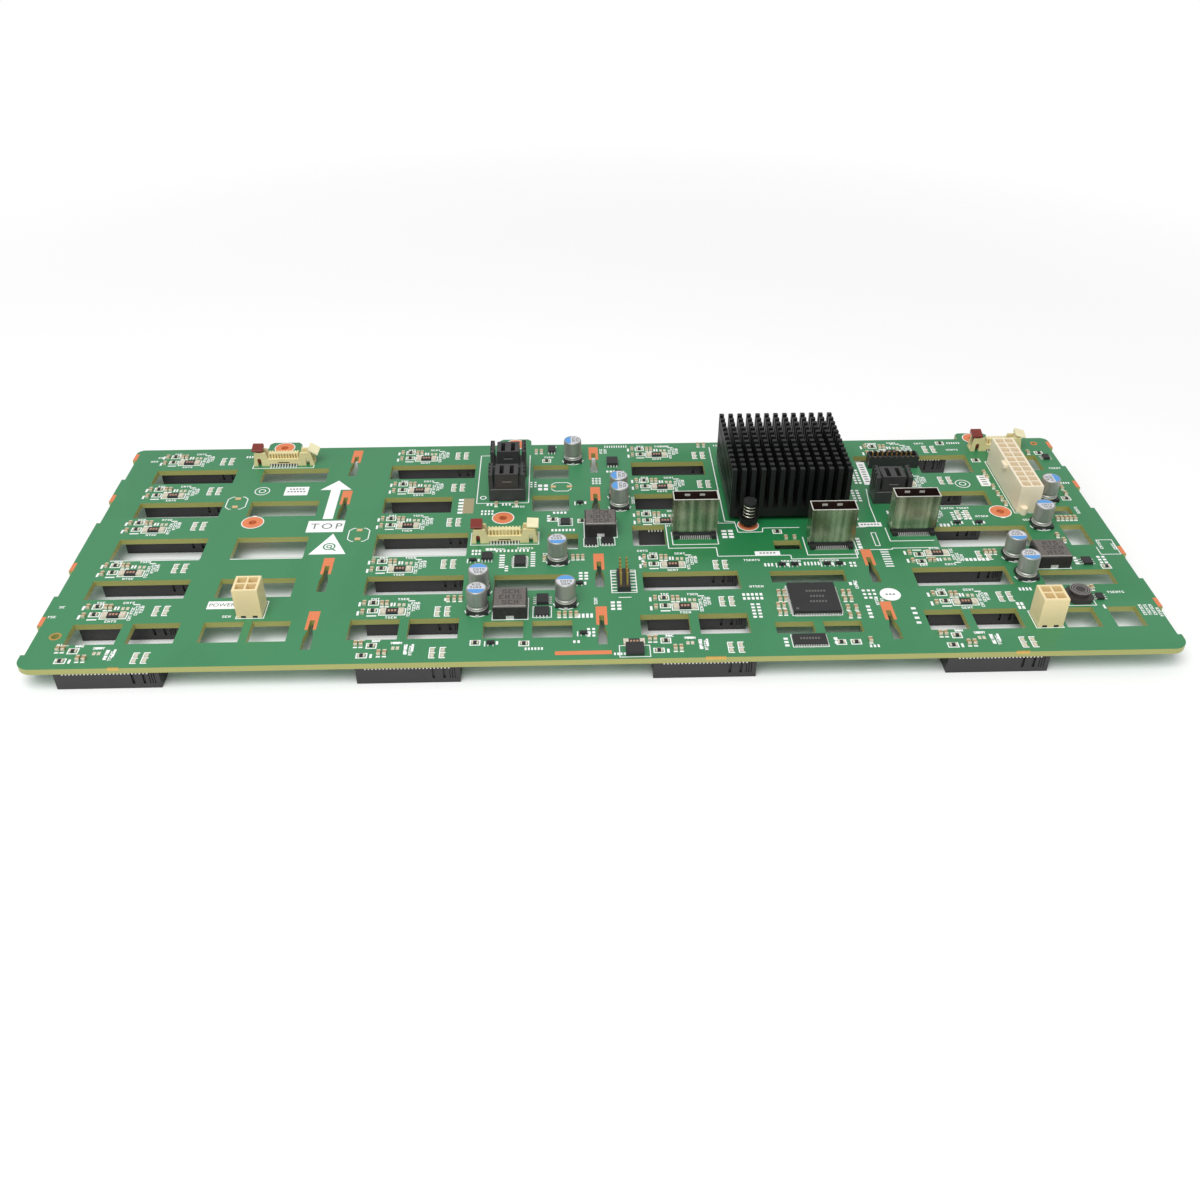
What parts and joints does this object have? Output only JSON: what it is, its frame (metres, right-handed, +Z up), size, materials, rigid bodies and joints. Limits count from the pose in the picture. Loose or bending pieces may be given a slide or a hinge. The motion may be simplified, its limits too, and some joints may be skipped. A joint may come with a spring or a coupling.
{
  "type": "drive backplane board",
  "caption": "Wide green circuit board with windows for air, drive sockets underneath, a pin-fin heat sink, metal-caged ports, cream power headers and cable headers with swinging levers.",
  "frame": {"origin": "under the middle of the board's outline, tabs included, on the plane that the drive sockets' mating faces lie in", "axes": "+X along the long edge, +Y to the edge with the three screw tabs, +Z up out of the component side"},
  "size_m": [0.43, 0.1666, 0.035],
  "materials": {
    "board_laminate": "green lacquer over glass fibre laminate, copper showing at holes and pads",
    "black_plastic": "fine moulded texture",
    "heat_sink_aluminium": "black anodised",
    "pin_plastic": "smooth moulded nylon",
    "spring_steel": "bright spring wire",
    "chip_package": "matt moulding compound",
    "cage_metal": "tinned sheet, slightly dull",
    "header_plastic": "smooth moulded cream plastic",
    "lever_brown": "smooth moulded",
    "lever_cream": "smooth moulded",
    "power_header_plastic": "smooth moulded ivory nylon",
    "pin_brass": "plated",
    "can_aluminium": "drawn aluminium",
    "inductor_compound": "pressed iron powder"
  },
  "bodies": {
    "board": {"circuit_board": "board_laminate", "drive_socket_row1_column1": "black_plastic", "drive_socket_row1_column2": "black_plastic", "drive_socket_row1_column3": "black_plastic", "drive_socket_row1_column4": "black_plastic", "drive_socket_row2_column1": "black_plastic", "drive_socket_row2_column2": "black_plastic", "drive_socket_row2_column3": "black_plastic", "drive_socket_row2_column4": "black_plastic", "drive_socket_row3_column1": "black_plastic", "drive_socket_row3_column2": "black_plastic", "drive_socket_row3_column3": "black_plastic", "drive_socket_row3_column4": "black_plastic", "drive_socket_row4_column1": "black_plastic", "drive_socket_row4_column2": "black_plastic", "drive_socket_row4_column3": "black_plastic", "drive_socket_row4_column4": "black_plastic", "drive_socket_row5_column1": "black_plastic", "drive_socket_row5_column2": "black_plastic", "drive_socket_row5_column3": "black_plastic", "drive_socket_row5_column4": "black_plastic", "drive_socket_row6_column1": "black_plastic", "drive_socket_row6_column2": "black_plastic", "drive_socket_row6_column3": "black_plastic", "drive_socket_row6_column4": "black_plastic", "heat_sink": "heat_sink_aluminium", "push_pins": "pin_plastic", "push_pin_springs": "spring_steel", "main_chip": "chip_package", "controller_chip": "chip_package", "logic_chips": "chip_package", "port_cage_1": "cage_metal", "port_insert_1": "black_plastic", "port_cage_2": "cage_metal", "port_insert_2": "black_plastic", "port_cage_3": "cage_metal", "port_insert_3": "black_plastic", "upright_socket_1": "black_plastic", "upright_socket_2": "black_plastic", "upright_socket_3": "black_plastic", "box_socket": "black_plastic", "cable_header_1": "header_plastic", "cable_header_2": "header_plastic", "cable_header_3": "header_plastic", "power_header_20_way": "power_header_plastic", "power_header_4_way_left": "power_header_plastic", "power_header_4_way_right": "power_header_plastic", "power_header_pins": "pin_brass", "capacitor_cans": "can_aluminium", "capacitor_bases": "black_plastic", "inductors": "inductor_compound", "round_inductor": "inductor_compound", "pin_header_body": "black_plastic", "pin_header_pins": "pin_brass"},
    "header_lever_1_left_body": {"header_lever_1_left": "lever_brown"},
    "header_lever_1_right_body": {"header_lever_1_right": "lever_cream"},
    "header_lever_2_left_body": {"header_lever_2_left": "lever_brown"},
    "header_lever_2_right_body": {"header_lever_2_right": "lever_cream"},
    "header_lever_3_left_body": {"header_lever_3_left": "lever_brown"},
    "header_lever_3_right_body": {"header_lever_3_right": "lever_cream"}
  },
  "joints": [
    {"name": "header_lever_1_left_hinge", "type": "hinge", "parent": "board", "child": "header_lever_1_left_body", "pos_m": [-0.15496, 0.064, 0.01305], "axis": [0, -1, 0], "range_deg": [-3, 45]},
    {"name": "header_lever_1_right_hinge", "type": "hinge", "parent": "board", "child": "header_lever_1_right_body", "pos_m": [-0.13303, 0.064, 0.01305], "axis": [0, 1, 0], "range_deg": [-35, 13]},
    {"name": "header_lever_2_left_hinge", "type": "hinge", "parent": "board", "child": "header_lever_2_left_body", "pos_m": [-0.05146, -0.0031, 0.01305], "axis": [0, -1, 0], "range_deg": [-3, 45]},
    {"name": "header_lever_2_right_hinge", "type": "hinge", "parent": "board", "child": "header_lever_2_right_body", "pos_m": [-0.02953, -0.0031, 0.01305], "axis": [0, 1, 0], "range_deg": [-7, 41]},
    {"name": "header_lever_3_left_hinge", "type": "hinge", "parent": "board", "child": "header_lever_3_left_body", "pos_m": [0.17794, 0.0684, 0.01305], "axis": [0, -1, 0], "range_deg": [-3, 45]},
    {"name": "header_lever_3_right_hinge", "type": "hinge", "parent": "board", "child": "header_lever_3_right_body", "pos_m": [0.19606, 0.0684, 0.01305], "axis": [0, 1, 0], "range_deg": [-18, 30]}
  ]
}
